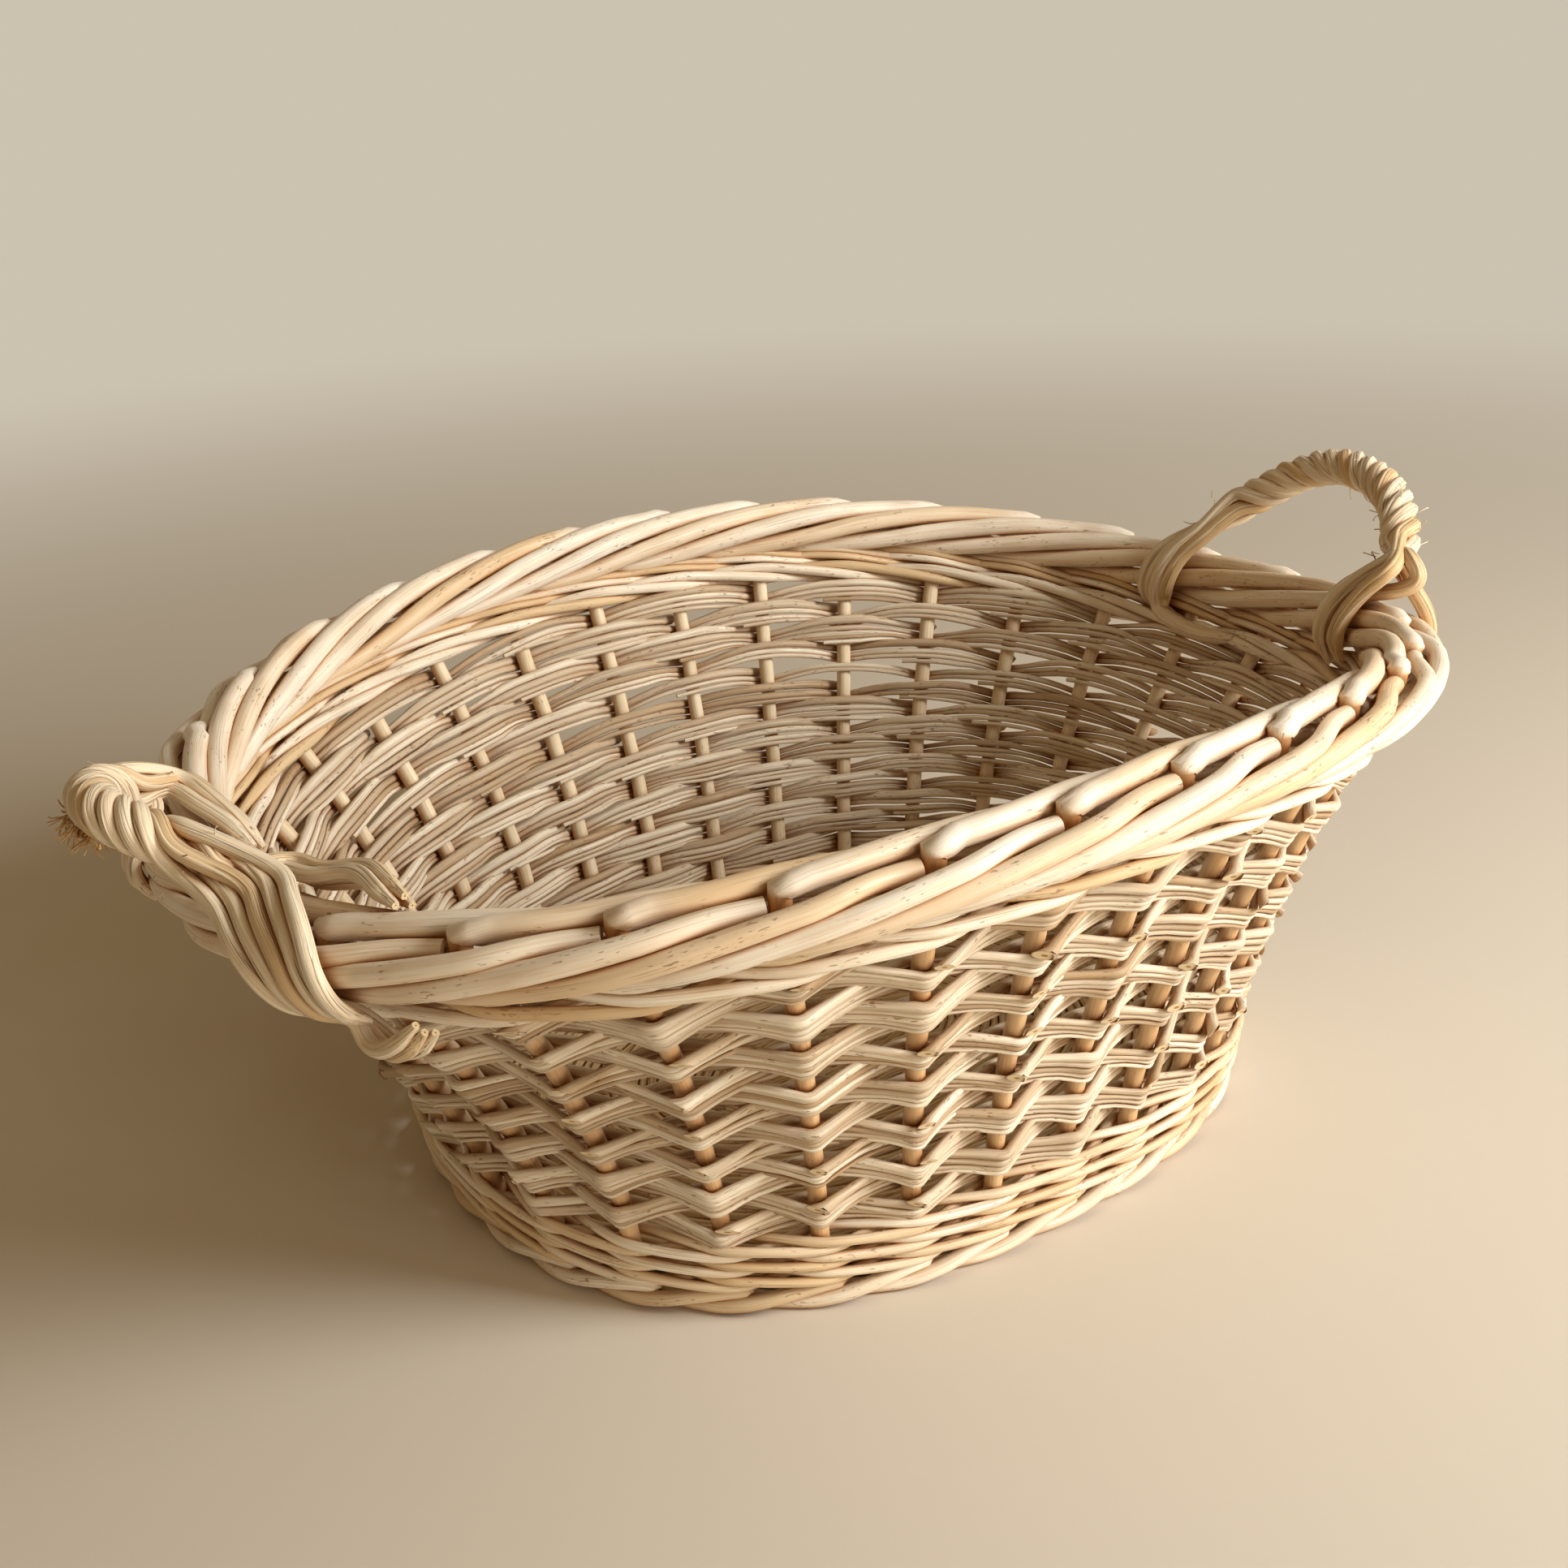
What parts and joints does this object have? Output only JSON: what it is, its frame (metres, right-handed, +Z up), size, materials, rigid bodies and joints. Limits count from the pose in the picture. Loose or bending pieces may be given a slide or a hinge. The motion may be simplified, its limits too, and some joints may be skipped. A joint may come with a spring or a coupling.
{
  "type": "laundry basket",
  "caption": "oval laundry basket of woven peeled willow with a flaring slewed wall, a rolled border, a round foot and a twisted bow handle at each end",
  "frame": {"origin": "on the floor, midway between the outer ends of the two handles and midway between the long sides", "axes": "+Z up out of the mouth, +X along the long way towards the wider, steeper handle, +Y towards one long side"},
  "size_m": [0.6884, 0.4988, 0.2801],
  "materials": {
    "stake_willow": "peeled willow, silky, amber in the shade of the weave",
    "slew_willow": "thin peeled willow rods, matt with a faint sheen",
    "wale_willow": "thicker peeled willow rods, pale cream",
    "border_willow": "thick smooth peeled willow, cream to tan",
    "handle_willow": "twisted peeled willow strands, cream, a few frayed fibres",
    "base_willow": "dry willow sticks and weaving, matt"
  },
  "bodies": {
    "root": {"stake_01": "stake_willow", "stake_02": "stake_willow", "stake_03": "stake_willow", "stake_04": "stake_willow", "stake_05": "stake_willow", "stake_06": "stake_willow", "stake_07": "stake_willow", "stake_08": "stake_willow", "stake_09": "stake_willow", "stake_10": "stake_willow", "stake_11": "stake_willow", "stake_12": "stake_willow", "stake_13": "stake_willow", "stake_14": "stake_willow", "stake_15": "stake_willow", "stake_16": "stake_willow", "stake_17": "stake_willow", "stake_18": "stake_willow", "stake_19": "stake_willow", "stake_20": "stake_willow", "stake_21": "stake_willow", "stake_22": "stake_willow", "stake_23": "stake_willow", "stake_24": "stake_willow", "stake_25": "stake_willow", "stake_26": "stake_willow", "stake_27": "stake_willow", "stake_28": "stake_willow", "stake_29": "stake_willow", "stake_30": "stake_willow", "slew_01": "slew_willow", "slew_02": "slew_willow", "slew_03": "slew_willow", "slew_04": "slew_willow", "slew_05": "slew_willow", "slew_06": "slew_willow", "slew_07": "slew_willow", "slew_08": "slew_willow", "slew_09": "slew_willow", "slew_10": "slew_willow", "slew_11": "slew_willow", "slew_12": "slew_willow", "slew_13": "slew_willow", "slew_14": "slew_willow", "lower_wale_outer": "wale_willow", "lower_wale_inner": "wale_willow", "top_wale_outer": "wale_willow", "top_wale_inner": "wale_willow", "foot_border": "wale_willow", "rolled_border": "border_willow", "handle_right": "handle_willow", "handle_left": "handle_willow", "base_long_stick_1": "base_willow", "base_long_stick_2": "base_willow", "base_long_stick_3": "base_willow", "base_cross_stick_1": "base_willow", "base_cross_stick_2": "base_willow", "base_cross_stick_3": "base_willow", "base_cross_stick_4": "base_willow", "base_weave": "base_willow"}
  },
  "joints": []
}
